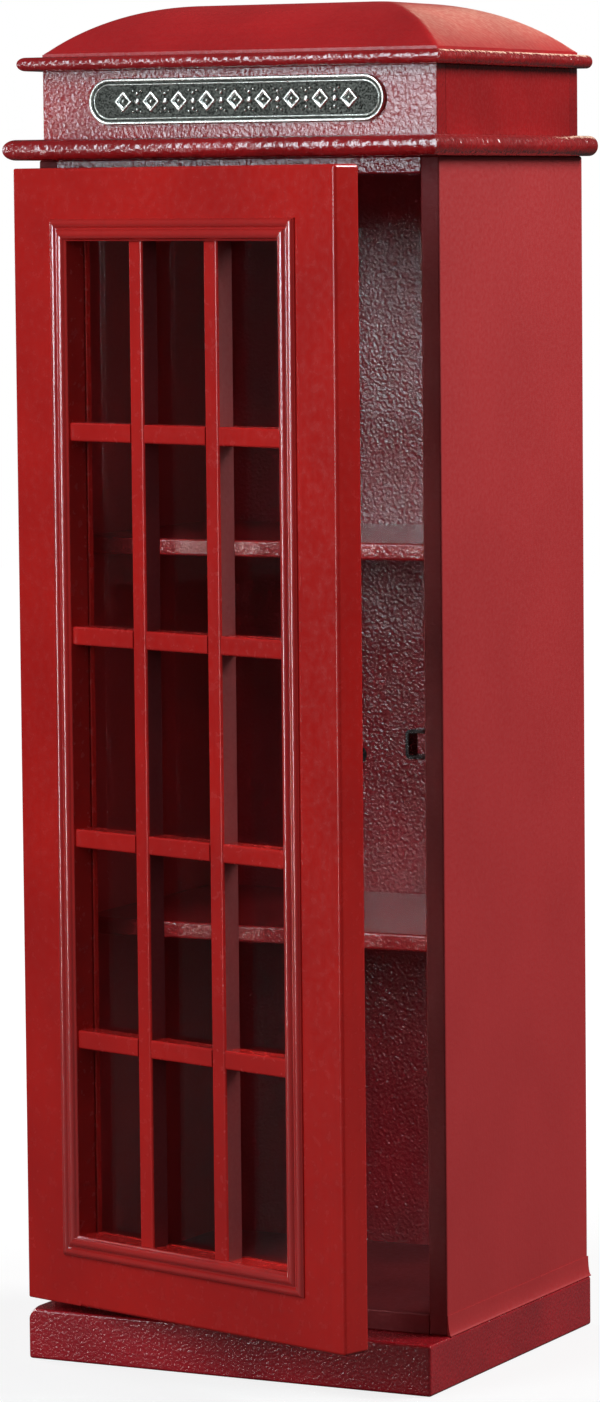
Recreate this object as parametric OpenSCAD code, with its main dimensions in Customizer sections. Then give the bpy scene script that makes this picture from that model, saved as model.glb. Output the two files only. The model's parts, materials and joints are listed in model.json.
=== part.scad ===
// A small free-standing display cabinet shaped like a street telephone box.
// +X is the viewer's right, +Y the back, +Z up. The origin is on the floor, under the
// middle of the carcass. The glazed door hangs on the front left corner and stands ajar.

/* [Carcass] */
// Width across the two side panels
body_w = 260; // [210:1:320]
// Depth from the front edges to the back face
body_d = 200; // [160:1:250]
// Height of the side panels
carcass_h = 679; // [560:1:830]
// Thickness of a side panel
side_t = 12; // [10:0.5:16]
// Thickness of the back panel
back_t = 8; // [5:0.5:12]
// Thickness of the floor board
floor_t = 12; // [8:0.5:16]
// Thickness of the top board
top_t = 10; // [8:0.5:14]

/* [Plinth] */
// Height of the plinth
plinth_h = 30; // [22:1:45]
// How far the plinth stands in front of the carcass
plinth_front_step = 28; // [15:1:40]
// How far the plinth stands out at each side
plinth_side_step = 2.3; // [1:0.1:6]
// Depth of the front bar of the plinth
plinth_front_bar = 44; // [42:1:60]
// Width of the side and back bars of the plinth
plinth_bar = 20; // [14:1:30]
// Thickness of the panel that closes the plinth below
base_panel_t = 6; // [4:0.5:9]
// Height of the cove strip above the plinth
cove_h = 12; // [6:1:20]

/* [Shelves] */
// Thickness of a shelf
shelf_t = 10; // [6:0.5:14]
// How far the front of a shelf lies behind the front of the carcass
shelf_setback = 20; // [8:1:40]
// Clear height of the lower compartment
lower_bay_h = 208; // [150:1:230]
// Clear height of the middle compartment
middle_bay_h = 217; // [150:1:240]
// Depth of the housing groove that holds a shelf end
housing_depth = 4; // [2:0.5:6]

/* [Cornices and roof] */
// Thickness of the lower cornice
lower_cornice_t = 12; // [8:0.5:18]
// Overhang of the lower cornice at the front
lower_cornice_front = 25.3; // [12:0.1:40]
// Overhang of the lower cornice at each side
lower_cornice_side = 10.4; // [6:0.1:20]
// Height of the frieze boards
frieze_h = 40; // [34:1:60]
// Thickness of a frieze board
frieze_t = 12; // [8:0.5:16]
// How far the frieze lies behind the faces of the carcass
frieze_inset = 2; // [0:0.5:6]
// Thickness of the upper cornice
upper_cornice_t = 8; // [5:0.5:14]
// Overhang of the upper cornice at the front
upper_cornice_front = 13; // [6:0.5:25]
// Overhang of the upper cornice at each side
upper_cornice_side = 7; // [4:0.5:15]
// Height of the upright lip at the foot of the roof
roof_lip = 2.5; // [1:0.5:8]
// Rise of the roof above its lip
roof_rise = 28.5; // [16:0.5:45]
// Distance from the edge at which the roof levels out
roof_run = 72; // [60:1:110]

/* [Name plaque] */
// Length of the plaque
plaque_w = 192; // [120:1:200]
// Height of the plaque
plaque_h = 27; // [20:1:32]
// Thickness of its plate
plaque_t = 2; // [1:0.1:3]
// Height of its raised rim and ornament
plaque_relief = 0.9; // [0.5:0.1:1.5]
// Number of lozenges in its ornament
plaque_lozenges = 9; // [3:1:9]

/* [Door] */
// Thickness of the door frame
door_t = 20; // [18:0.5:28]
// Angle by which the door stands open
ajar_angle = 17.2; // [0:0.1:90]
// Gap between the closed door and the carcass
door_gap = 0.8; // [0.5:0.1:1.6]
// Gap under the door
door_gap_bottom = 5.3; // [2:0.1:8]
// Gap over the door
door_gap_top = 4.6; // [2:0.1:8]
// Width of the stile on the hinge side
hinge_stile_w = 45; // [36:1:55]
// Width of the stile on the free side
free_stile_w = 44; // [36:1:55]
// Height of the top rail
top_rail_h = 42.4; // [34:0.1:60]
// Height of the bottom rail
bottom_rail_h = 42.7; // [34:0.1:60]
// Width of the moulding around the glazed opening
moulding_w = 13; // [12:0.5:20]
// Height of the moulding above the door face
moulding_h = 3.8; // [3:0.1:7]

/* [Glazing] */
// Number of upright glazing bars
upright_bars = 2; // [2]
// Number of level glazing bars
level_bars = 4; // [4]
// Width of an upright glazing bar
upright_bar_w = 11; // [7:0.5:14]
// Height of a level glazing bar
level_bar_h = 11; // [7:0.5:14]
// How far the level bars sit above an even spacing
level_bar_lift = 3; // [-6:0.5:6]
// How far the glazing bars lie behind the door face
bar_recess = 1; // [0:0.5:4]
// Depth of the glass behind the door face
glass_depth = 13; // [11:0.5:16]
// Thickness of the glass
glass_t = 3; // [2:0.5:4]
// Width of the rebate that holds the glass
rebate_w = 6.5; // [5:0.5:9]

/* [Hinges] */
// Length of a hinge
hinge_len = 50; // [40:1:60]
// Distance from the end of the door to a hinge
hinge_inset = 55; // [30:1:90]
// Width of the flat part of a hinge leaf
leaf_w = 9.6; // [8:0.1:11]
// Thickness of a hinge leaf
leaf_t = 1; // [0.8:0.1:1.4]
// Outer radius of a hinge knuckle
knuckle_r = 2; // [1.8:0.1:3]
// Radius of a hinge pin
pin_r = 1; // [0.8:0.1:1.2]

/* [Catch] */
// Height of the catch above the foot of the carcass
catch_height = 342.5; // [325:0.5:380]
// How far the keeper stands out of the side panel
keeper_out = 14.5; // [12:0.5:20]
// Height of the keeper's loop
keeper_h = 17; // [14:0.5:24]
// Depth of the keeper from front to back
keeper_depth = 12; // [8:0.5:16]
// Thickness of the keeper's strip
keeper_t = 2; // [1:0.1:3]
// How far the keeper lies behind the front of the carcass
keeper_setback = 5; // [3:0.5:10]

/* [Screws] */
// Shank radius of every screw
screw_r = 1.1; // [0.8:0.1:1.3]
// Head radius of every screw
screw_head_r = 2.2; // [1.8:0.1:2.8]
// Length of a hinge screw
hinge_screw_len = 12; // [8:1:15]
// Length of a catch screw
catch_screw_len = 8; // [6:1:10]

/* [Hidden] */

$fn = 48;
paint = "#9c2629";
paint_dark = "#701c20";
pewter = "#8c8c86";
brass = "#b08d48";
black_steel = "#202022";
clear_glass = [0.75, 0.85, 0.85, 0.35];

fit_gap = 0.1;         // glued boards in their grooves and laps
glass_gap = 0.5;       // around the edge of the glass
pin_gap = 0.05;        // radial running clearance on a hinge pin
screw_gap = 0.05;      // radial clearance around a screw in its pilot hole
knuckle_gap = 0.3;     // between knuckles along the pin
barrel_gap = 0.4;      // between the barrel and the boards beside it
over = 1;              // how far a cutting shape runs past the face it cuts

front_y = -body_d / 2;
back_y = body_d / 2;
left_x = -body_w / 2;
right_x = body_w / 2;
inner_w = body_w - 2 * side_t;
inner_back_y = back_y - back_t;
inner_right_x = right_x - side_t;

carcass_top = plinth_h + carcass_h;
floor_top = plinth_h + floor_t;
lower_shelf_z = floor_top + lower_bay_h;
upper_shelf_z = lower_shelf_z + shelf_t + middle_bay_h;
frieze_z = carcass_top + lower_cornice_t;
upper_cornice_z = frieze_z + frieze_h;
roof_z = upper_cornice_z + upper_cornice_t;
roof_r = (roof_run * roof_run + roof_rise * roof_rise) / (2 * roof_rise);
frieze_w = body_w - 2 * frieze_inset;
frieze_d = body_d - 2 * frieze_inset;

door_bottom = plinth_h + door_gap_bottom;
door_top = carcass_top - door_gap_top;
door_h = door_top - door_bottom;
door_back_y = front_y - door_gap;
door_front_y = door_back_y - door_t;
sight_w = body_w - hinge_stile_w - free_stile_w;
sight_h = door_h - top_rail_h - bottom_rail_h;
sight_bottom = door_bottom + bottom_rail_h;
pane_w = (sight_w - upright_bars * upright_bar_w) / (upright_bars + 1);
pane_h = (sight_h - level_bars * level_bar_h) / (level_bars + 1);
bar_depth = glass_depth - bar_recess;
bar_round = 1.5;
bead_depth = door_t - glass_depth - glass_t;

axis_x = left_x - knuckle_r - barrel_gap;
axis_y = front_y - door_gap / 2;
knuckles = 5;
knuckle_len = (hinge_len - (knuckles - 1) * knuckle_gap) / knuckles;
lower_hinge_z = door_bottom + hinge_inset + hinge_len / 2;
upper_hinge_z = door_top - hinge_inset - hinge_len / 2;
pin_head_r = knuckle_r;
pin_head_h = 1;
leaf_screws = [-0.36 * hinge_len, 0, 0.36 * hinge_len];
leaf_screw_x = left_x + leaf_w * 0.55;
screw_head_h = screw_head_r - screw_r;

catch_z = plinth_h + catch_height;
keeper_front_y = front_y + keeper_setback;
keeper_plate_t = 1.2;
keeper_tab = 7;
keeper_corner = 3;
keeper_plate_h = keeper_h + 2 * keeper_tab;
keeper_inner_w = keeper_out - keeper_t - keeper_plate_t;
keeper_screw_rise = keeper_h / 2 + keeper_tab / 2;
tongue_gap = 1.75;     // between the tongue and the loop on each side
tongue_end_gap = 4;    // from the straight part of the tongue to the back of the loop
strike_plate_t = 1.2;
strike_plate_w = 13;
strike_plate_h = 30;
strike_side_gap = 1.1;
strike_screw_inset = 5;
tongue_w = keeper_inner_w - 2 * tongue_gap;
tongue_h = keeper_h - 2 * keeper_t - 2 * tongue_gap;
tongue_reach = keeper_setback + keeper_depth - tongue_end_gap;
tongue_x = inner_right_x - keeper_plate_t - keeper_inner_w / 2;
strike_screw_rise = strike_plate_h / 2 - strike_screw_inset;

// ---- shared shapes ----

// A box from one corner to the other
module box(low, high) {
    translate(low) cube(high - low);
}

// A slab with half-round edges at its front and both sides, square at the back
module bullnose_slab(low, high) {
    t = high[2] - low[2];
    nose = t / 2;
    wide = high[0] - low[0];
    deep = high[1] - low[1];
    intersection() {
        translate(low) rotate([90, 0, 90]) linear_extrude(wide) {
            translate([nose, 0]) square([deep - nose, t]);
            translate([nose, nose]) circle(nose);
        }
        translate([low[0], high[1], low[2]]) rotate([90, 0, 0]) linear_extrude(deep) {
            translate([nose, 0]) square([wide - t, t]);
            for (x = [nose, wide - nose]) translate([x, nose]) circle(nose);
        }
    }
}

// The outline of the roof seen along one level axis: a lip, an arc and a level crown,
// from each side
module roof_outline(half) {
    module one_side() {
        intersection() {
            translate([roof_run - half, roof_lip + roof_rise - roof_r]) circle(roof_r, $fn = 360);
            translate([-half, 0]) square([roof_run, roof_lip + roof_rise]);
        }
        translate([roof_run - half, 0]) square([2 * half - roof_run, roof_lip + roof_rise]);
    }
    intersection() {
        one_side();
        mirror([1, 0]) one_side();
    }
}

// A countersunk screw with the top of its head at the origin, pointing down
module screw(length) {
    translate([0, 0, -screw_head_h]) cylinder(h = screw_head_h, r1 = screw_r, r2 = screw_head_r);
    translate([0, 0, -length + screw_r]) cylinder(h = length - screw_r, r = screw_r);
    translate([0, 0, -length]) cylinder(h = screw_r, r1 = 0.2, r2 = screw_r);
}

// The hole that such a screw sits in, in metal or in wood
module screw_hole(length) {
    hole_r = screw_r + screw_gap;
    translate([0, 0, -length - screw_gap]) cylinder(h = length + over, r = hole_r);
    translate([0, 0, -screw_head_h - screw_gap])
        cylinder(h = screw_head_h + screw_gap + over, r1 = hole_r,
                 r2 = screw_head_r + screw_gap + over);
}

// Turns the closed door to the angle at which it stands
module hung_door() {
    translate([axis_x, axis_y, 0]) rotate([0, 0, -ajar_angle]) translate([-axis_x, -axis_y, 0])
        children();
}

// Places shapes drawn on the door's face: x from the hinge edge, y as height, z outwards
module on_door_face(depth = 0) {
    translate([left_x, door_front_y + depth, 0]) rotate([90, 0, 0]) children();
}

// The front edges of a bar are rounded; the profile is centred, with its front at y = 0
module bar_profile(width) {
    translate([-width / 2, bar_round]) square([width, bar_depth - bar_round]);
    translate([-width / 2 + bar_round, 0]) square([width - 2 * bar_round, bar_depth]);
    for (side = [-1, 1])
        translate([side * (width / 2 - bar_round), bar_round]) circle(bar_round);
}

// ---- plinth ----

plinth_left = left_x - plinth_side_step;
plinth_right = right_x + plinth_side_step;
plinth_front = front_y - plinth_front_step;
plinth_front_inner = plinth_front + plinth_front_bar;

module plinth_front_bar() {
    color(paint_dark) box([plinth_left, plinth_front, 0],
                          [plinth_right, plinth_front_inner, plinth_h]);
}

module plinth_left_bar() {
    color(paint_dark) box([plinth_left, plinth_front_inner, 0],
                          [plinth_left + plinth_bar, back_y, plinth_h]);
}

module plinth_right_bar() {
    color(paint_dark) box([plinth_right - plinth_bar, plinth_front_inner, 0],
                          [plinth_right, back_y, plinth_h]);
}

module plinth_back_bar() {
    color(paint_dark) box([plinth_left + plinth_bar, back_y - plinth_bar, 0],
                          [plinth_right - plinth_bar, back_y, plinth_h]);
}

module base_panel() {
    color(paint_dark) box([plinth_left + plinth_bar + fit_gap, plinth_front_inner + fit_gap, 0],
                          [plinth_right - plinth_bar - fit_gap, back_y - plinth_bar - fit_gap,
                           base_panel_t]);
}

cove_edge = 0.4;

// A strip that fills the step between plinth and side panel with a hollow curve
module cove_strip() {
    translate([0, back_y, plinth_h]) rotate([90, 0, 0]) linear_extrude(body_d) difference() {
        square([plinth_side_step, cove_h]);
        translate([plinth_side_step, cove_h])
            scale([(plinth_side_step - cove_edge) / (cove_h - cove_edge), 1])
            circle(cove_h - cove_edge);
    }
}

module left_cove_strip() {
    color(paint_dark) translate([left_x, 0, 0]) mirror([1, 0, 0]) cove_strip();
}

module right_cove_strip() {
    color(paint_dark) translate([right_x, 0, 0]) cove_strip();
}

// ---- carcass ----

// Grooves for the ends of the shelves, cut from a panel's inner face outwards (-1 or 1)
module shelf_housings(face_x, outwards) {
    open_x = face_x - outwards * over;
    deep_x = face_x + outwards * housing_depth;
    for (z = [lower_shelf_z, upper_shelf_z])
        box([min(open_x, deep_x), front_y + shelf_setback - fit_gap, z - fit_gap],
            [max(open_x, deep_x), inner_back_y + fit_gap, z + shelf_t + fit_gap]);
}

module left_side_panel() {
    color(paint) difference() {
        box([left_x, front_y, plinth_h], [left_x + side_t, back_y, carcass_top]);
        shelf_housings(left_x + side_t, -1);
        for (z = [lower_hinge_z, upper_hinge_z]) {
            box([left_x - over, front_y - over, z - hinge_len / 2 - fit_gap],
                [left_x + leaf_w + fit_gap, front_y + leaf_t + fit_gap,
                 z + hinge_len / 2 + fit_gap]);
            for (rise = leaf_screws)
                translate([leaf_screw_x, front_y, z + rise]) rotate([90, 0, 0])
                    screw_hole(hinge_screw_len);
        }
    }
}

module right_side_panel() {
    color(paint) difference() {
        box([right_x - side_t, front_y, plinth_h], [right_x, back_y, carcass_top]);
        shelf_housings(inner_right_x, 1);
        for (side = [-1, 1]) catch_keeper_screw_place(side) screw_hole(catch_screw_len);
    }
}

module floor_board() {
    color(paint_dark) box([-inner_w / 2, front_y, plinth_h],
                          [inner_w / 2, inner_back_y, floor_top]);
}

module top_board() {
    color(paint_dark) box([-inner_w / 2, front_y, carcass_top - top_t],
                          [inner_w / 2, inner_back_y, carcass_top]);
}

module back_panel() {
    color(paint) box([-inner_w / 2, inner_back_y, plinth_h],
                     [inner_w / 2, back_y, carcass_top]);
}

module shelf(z) {
    color(paint_dark) box([-inner_w / 2 - housing_depth + fit_gap, front_y + shelf_setback, z],
                          [inner_w / 2 + housing_depth - fit_gap, inner_back_y, z + shelf_t]);
}

module lower_shelf() {
    shelf(lower_shelf_z);
}

module upper_shelf() {
    shelf(upper_shelf_z);
}

// ---- cornices, frieze and roof ----

module lower_cornice() {
    color(paint) bullnose_slab(
        [left_x - lower_cornice_side, front_y - lower_cornice_front, carcass_top],
        [right_x + lower_cornice_side, back_y, frieze_z]);
}

module upper_cornice() {
    color(paint) bullnose_slab(
        [left_x - upper_cornice_side, front_y - upper_cornice_front, upper_cornice_z],
        [right_x + upper_cornice_side, back_y, roof_z]);
}

// The front and back boards lap over the ends of the side boards
module frieze_long_board(front) {
    color(paint) box([-frieze_w / 2, front, frieze_z],
                     [frieze_w / 2, front + frieze_t, upper_cornice_z]);
}

module frieze_short_board(left) {
    color(paint) box([left, frieze_t - frieze_d / 2, frieze_z],
                     [left + frieze_t, frieze_d / 2 - frieze_t, upper_cornice_z]);
}

module frieze_front() {
    frieze_long_board(-frieze_d / 2);
}

module frieze_back() {
    frieze_long_board(frieze_d / 2 - frieze_t);
}

module frieze_left() {
    frieze_short_board(-frieze_w / 2);
}

module frieze_right() {
    frieze_short_board(frieze_w / 2 - frieze_t);
}

module roof() {
    color(paint) translate([0, 0, roof_z]) intersection() {
        translate([-frieze_w / 2, 0, 0]) rotate([90, 0, 90]) linear_extrude(frieze_w)
            roof_outline(frieze_d / 2);
        translate([0, frieze_d / 2, 0]) rotate([90, 0, 0]) linear_extrude(frieze_d)
            roof_outline(frieze_w / 2);
    }
}

// ---- name plaque, with plain lozenges and beads as its ornament ----

plaque_lift = 1.5;
rim_w = 1.6;
border_inset = 3.4;
border_w = 0.8;
lozenge_w = 11;
lozenge_h = 13;
lozenge_line = 2.2;
bead_r = 2;

module stadium(inset) {
    end_r = plaque_h / 2 - inset;
    reach = plaque_w / 2 - plaque_h / 2;
    square([2 * reach, 2 * end_r], center = true);
    for (side = [-1, 1]) translate([side * reach, 0]) circle(end_r, $fn = 96);
}

module lozenge(width, height) {
    polygon([[-width / 2, 0], [0, -height / 2], [width / 2, 0], [0, height / 2]]);
}

module name_plaque() {
    pitch = (plaque_w - plaque_h) / plaque_lozenges;
    first = -pitch * (plaque_lozenges - 1) / 2;
    color(pewter)
        translate([0, -frieze_d / 2, frieze_z + frieze_h / 2 + plaque_lift]) rotate([90, 0, 0]) {
            linear_extrude(plaque_t) stadium(0);
            linear_extrude(plaque_t + plaque_relief) {
                difference() {
                    stadium(0);
                    stadium(rim_w);
                }
                difference() {
                    stadium(border_inset);
                    stadium(border_inset + border_w);
                }
                for (i = [0:plaque_lozenges - 1]) translate([first + i * pitch, 0]) {
                    difference() {
                        lozenge(lozenge_w, lozenge_h);
                        lozenge(lozenge_w - 2 * lozenge_line, lozenge_h - 2 * lozenge_line);
                    }
                    if (i > 0) translate([-pitch / 2, 0]) circle(bead_r);
                }
            }
        }
}

// ---- door frame ----

// A frame member between two corners given as distance from the hinge edge and height
module frame_member(low, high) {
    color(paint) hung_door() difference() {
        on_door_face() translate([low[0], low[1], -door_t])
            cube([high[0] - low[0], high[1] - low[1], door_t]);
        rebate_pocket();
        children();
    }
}

// The rebate at the back of the frame, around the sight opening
module rebate_pocket() {
    on_door_face(glass_depth) translate([hinge_stile_w - rebate_w, sight_bottom - rebate_w,
                                         -door_t])
        cube([sight_w + 2 * rebate_w, sight_h + 2 * rebate_w, door_t]);
}

module door_hinge_stile() {
    frame_member([0, door_bottom], [hinge_stile_w, door_top]) {
        for (z = [lower_hinge_z, upper_hinge_z]) {
            box([left_x - over, door_back_y - leaf_t - fit_gap, z - hinge_len / 2 - fit_gap],
                [left_x + leaf_w + fit_gap, door_back_y + over, z + hinge_len / 2 + fit_gap]);
            for (rise = leaf_screws)
                translate([leaf_screw_x, door_back_y, z + rise]) rotate([-90, 0, 0])
                    screw_hole(hinge_screw_len);
        }
    }
}

module door_free_stile() {
    frame_member([body_w - free_stile_w, door_bottom], [body_w, door_top])
        for (side = [-1, 1]) catch_strike_screw_place(side) screw_hole(catch_screw_len);
}

module door_top_rail() {
    frame_member([hinge_stile_w, door_top - top_rail_h], [body_w - free_stile_w, door_top]);
}

module door_bottom_rail() {
    frame_member([hinge_stile_w, door_bottom], [body_w - free_stile_w, sight_bottom]);
}

// ---- moulding around the opening ----

moulding_base_h = 1.6;
outer_ridge_r = 2.4;
inner_ridge_r = 3.4;
outer_ridge_x = 2.8;                        // from the outer edge to the ridge's middle
inner_ridge_x = moulding_w - 4;
outer_ridge_top = moulding_h - 1;

// A rounded ridge whose foot lies in the base of the moulding
module ridge(x, radius, top) {
    intersection() {
        translate([x, top - radius]) circle(radius);
        square([moulding_w, moulding_h]);
    }
}

// Drawn from the outer edge at x = 0 to the inner edge, upwards from the door face
module moulding_profile() {
    square([moulding_w, moulding_base_h]);
    ridge(outer_ridge_x, outer_ridge_r, outer_ridge_top);
    ridge(inner_ridge_x, inner_ridge_r, moulding_h);
}

// A mitred strip; the outer edge starts at the given corner and runs along the turn
module moulding_strip(corner, turn, length) {
    color(paint) hung_door() on_door_face() translate([corner[0], corner[1], 0])
        rotate([0, 0, turn]) intersection() {
            rotate([90, 0, 90]) linear_extrude(length) moulding_profile();
            linear_extrude(moulding_h) polygon([[0, 0], [length, 0],
                                                [length - moulding_w, moulding_w],
                                                [moulding_w, moulding_w]]);
        }
}

ring_left = hinge_stile_w - moulding_w;
ring_right = body_w - free_stile_w + moulding_w;
ring_bottom = sight_bottom - moulding_w;
ring_top = sight_bottom + sight_h + moulding_w;

module moulding_bottom() {
    moulding_strip([ring_left, ring_bottom], 0, ring_right - ring_left);
}

module moulding_free() {
    moulding_strip([ring_right, ring_bottom], 90, ring_top - ring_bottom);
}

module moulding_top() {
    moulding_strip([ring_right, ring_top], 180, ring_right - ring_left);
}

module moulding_hinge() {
    moulding_strip([ring_left, ring_top], 270, ring_top - ring_bottom);
}

// ---- glazing ----

function upright_centre(i) = hinge_stile_w + i * pane_w + (i - 0.5) * upright_bar_w;
function level_centre(i) =
    sight_bottom + i * pane_h + (i - 0.5) * level_bar_h + level_bar_lift;

// Upright bars are notched from behind where the level bars cross them
module upright_bar(i) {
    color(paint) hung_door() difference() {
        on_door_face(bar_recess) translate([upright_centre(i), sight_bottom, 0])
            rotate([-90, 0, 0]) linear_extrude(sight_h) bar_profile(upright_bar_w);
        for (k = [1:level_bars])
            on_door_face(bar_recess + bar_depth / 2) translate(
                [upright_centre(i) - upright_bar_w / 2 - over,
                 level_centre(k) - level_bar_h / 2 - fit_gap / 2, -door_t])
                cube([upright_bar_w + 2 * over, level_bar_h + fit_gap, door_t]);
    }
}

// Level bars are notched from the front to receive the upright bars
module level_bar(k) {
    color(paint) hung_door() difference() {
        on_door_face(bar_recess) translate([hinge_stile_w, level_centre(k), 0])
            rotate([0, 90, 0]) rotate([0, 0, -90]) linear_extrude(sight_w)
            bar_profile(level_bar_h);
        for (i = [1:upright_bars])
            on_door_face(bar_recess) translate(
                [upright_centre(i) - upright_bar_w / 2 - fit_gap / 2,
                 level_centre(k) - level_bar_h / 2 - over, -bar_depth / 2])
                cube([upright_bar_w + fit_gap, level_bar_h + 2 * over, bar_depth]);
    }
}

module upright_bar_1() {
    upright_bar(1);
}

module upright_bar_2() {
    upright_bar(2);
}

module level_bar_1() {
    level_bar(1);
}

module level_bar_2() {
    level_bar(2);
}

module level_bar_3() {
    level_bar(3);
}

module level_bar_4() {
    level_bar(4);
}

module door_glass() {
    reach = rebate_w - glass_gap;
    color(clear_glass) hung_door() on_door_face(glass_depth)
        translate([hinge_stile_w - reach, sight_bottom - reach, -glass_t])
        cube([sight_w + 2 * reach, sight_h + 2 * reach, glass_t]);
}

// Square beads behind the glass, the upright ones running the full height of the rebate
module glazing_bead(low, high) {
    color(paint_dark) hung_door() on_door_face(glass_depth + glass_t)
        translate([low[0], low[1], -bead_depth])
        cube([high[0] - low[0], high[1] - low[1], bead_depth]);
}

rebate_left = hinge_stile_w - rebate_w + fit_gap;
rebate_right = hinge_stile_w + sight_w + rebate_w - fit_gap;
rebate_bottom = sight_bottom - rebate_w + fit_gap;
rebate_top = sight_bottom + sight_h + rebate_w - fit_gap;

module glazing_bead_hinge() {
    glazing_bead([rebate_left, rebate_bottom], [hinge_stile_w, rebate_top]);
}

module glazing_bead_free() {
    glazing_bead([hinge_stile_w + sight_w, rebate_bottom], [rebate_right, rebate_top]);
}

module glazing_bead_bottom() {
    glazing_bead([hinge_stile_w, rebate_bottom], [hinge_stile_w + sight_w, sight_bottom]);
}

module glazing_bead_top() {
    glazing_bead([hinge_stile_w, sight_bottom + sight_h], [hinge_stile_w + sight_w, rebate_top]);
}

// ---- hinges ----

// Knuckles with the given numbers, with their roots reaching the flat part of the leaf
module knuckles_of(numbers, z, root_y) {
    for (k = numbers) {
        start = z - hinge_len / 2 + k * (knuckle_len + knuckle_gap);
        translate([axis_x, axis_y, start]) cylinder(h = knuckle_len, r = knuckle_r);
        box([axis_x, root_y, start], [left_x + over, root_y + leaf_t, start + knuckle_len]);
    }
}

module pin_bore(z) {
    translate([axis_x, axis_y, z - hinge_len / 2 - over])
        cylinder(h = hinge_len + 2 * over, r = pin_r + pin_gap);
}

module carcass_leaf(z) {
    color(brass) difference() {
        union() {
            box([left_x, front_y, z - hinge_len / 2],
                [left_x + leaf_w, front_y + leaf_t, z + hinge_len / 2]);
            knuckles_of([0, 2, 4], z, front_y);
        }
        pin_bore(z);
        for (rise = leaf_screws)
            translate([leaf_screw_x, front_y, z + rise]) rotate([90, 0, 0])
                screw_hole(hinge_screw_len);
    }
}

module door_leaf(z) {
    color(brass) hung_door() difference() {
        union() {
            box([left_x, door_back_y - leaf_t, z - hinge_len / 2],
                [left_x + leaf_w, door_back_y, z + hinge_len / 2]);
            knuckles_of([1, 3], z, door_back_y - leaf_t);
        }
        pin_bore(z);
        for (rise = leaf_screws)
            translate([leaf_screw_x, door_back_y, z + rise]) rotate([-90, 0, 0])
                screw_hole(hinge_screw_len);
    }
}

module hinge_pin(z) {
    color(brass) translate([axis_x, axis_y, z]) {
        cylinder(h = hinge_len, r = pin_r, center = true);
        for (side = [-1, 1])
            translate([0, 0, side * (hinge_len + pin_head_h) / 2])
                cylinder(h = pin_head_h, r = pin_head_r, center = true);
    }
}

module upper_hinge_carcass_leaf() {
    carcass_leaf(upper_hinge_z);
}

module upper_hinge_door_leaf() {
    door_leaf(upper_hinge_z);
}

module upper_hinge_pin() {
    hinge_pin(upper_hinge_z);
}

module lower_hinge_carcass_leaf() {
    carcass_leaf(lower_hinge_z);
}

module lower_hinge_door_leaf() {
    door_leaf(lower_hinge_z);
}

module lower_hinge_pin() {
    hinge_pin(lower_hinge_z);
}

module hinge_carcass_screws() {
    color(brass) for (z = [lower_hinge_z, upper_hinge_z]) for (rise = leaf_screws)
        translate([leaf_screw_x, front_y, z + rise]) rotate([90, 0, 0]) screw(hinge_screw_len);
}

module hinge_door_screws() {
    color(brass) hung_door() for (z = [lower_hinge_z, upper_hinge_z]) for (rise = leaf_screws)
        translate([leaf_screw_x, door_back_y, z + rise]) rotate([-90, 0, 0])
            screw(hinge_screw_len);
}

// ---- catch: a loop on the side panel takes a tongue on the door ----

module catch_keeper_screw_place(side) {
    translate([inner_right_x - keeper_plate_t, keeper_front_y + keeper_depth / 2,
               catch_z + side * keeper_screw_rise]) rotate([0, -90, 0]) children();
}

module catch_strike_screw_place(side) {
    translate([tongue_x, door_back_y + strike_plate_t, catch_z + side * strike_screw_rise])
        rotate([-90, 0, 0]) children();
}

// The outline of the keeper's loop, or of its hollow when inset by the strip's thickness.
// Its free side has round corners; the tail runs past the other side.
module keeper_outline(inset, tail) {
    corner = keeper_corner - inset;
    wide = keeper_out - inset;
    high = keeper_h - 2 * inset;
    translate([-tail, -high / 2]) square([wide - corner + tail, high]);
    translate([0, corner - high / 2]) square([wide, high - 2 * corner]);
    for (side = [-1, 1])
        translate([wide - corner, side * (high / 2 - corner)]) circle(corner);
}

module catch_keeper() {
    color(black_steel) difference() {
        union() {
            translate([inner_right_x, keeper_front_y, catch_z]) rotate([-90, 180, 0])
                linear_extrude(keeper_depth) difference() {
                    keeper_outline(0, 0);
                    keeper_outline(keeper_t, over);
                }
            box([inner_right_x - keeper_plate_t, keeper_front_y, catch_z - keeper_plate_h / 2],
                [inner_right_x, keeper_front_y + keeper_depth, catch_z + keeper_plate_h / 2]);
        }
        for (side = [-1, 1]) catch_keeper_screw_place(side) screw_hole(catch_screw_len);
    }
}

module catch_keeper_screws() {
    color(black_steel) for (side = [-1, 1])
        catch_keeper_screw_place(side) screw(catch_screw_len);
}

module catch_strike() {
    plate_right = inner_right_x - strike_side_gap;
    color(black_steel) hung_door() difference() {
        union() {
            box([plate_right - strike_plate_w, door_back_y, catch_z - strike_plate_h / 2],
                [plate_right, door_back_y + strike_plate_t, catch_z + strike_plate_h / 2]);
            box([tongue_x - tongue_w / 2, door_back_y, catch_z - tongue_h / 2],
                [tongue_x + tongue_w / 2, door_back_y + tongue_reach, catch_z + tongue_h / 2]);
            translate([tongue_x - tongue_w / 2, door_back_y + tongue_reach, catch_z])
                rotate([0, 90, 0]) cylinder(h = tongue_w, r = tongue_h / 2);
        }
        for (side = [-1, 1]) catch_strike_screw_place(side) screw_hole(catch_screw_len);
    }
}

module catch_strike_screws() {
    color(black_steel) hung_door() for (side = [-1, 1])
        catch_strike_screw_place(side) screw(catch_screw_len);
}

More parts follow.
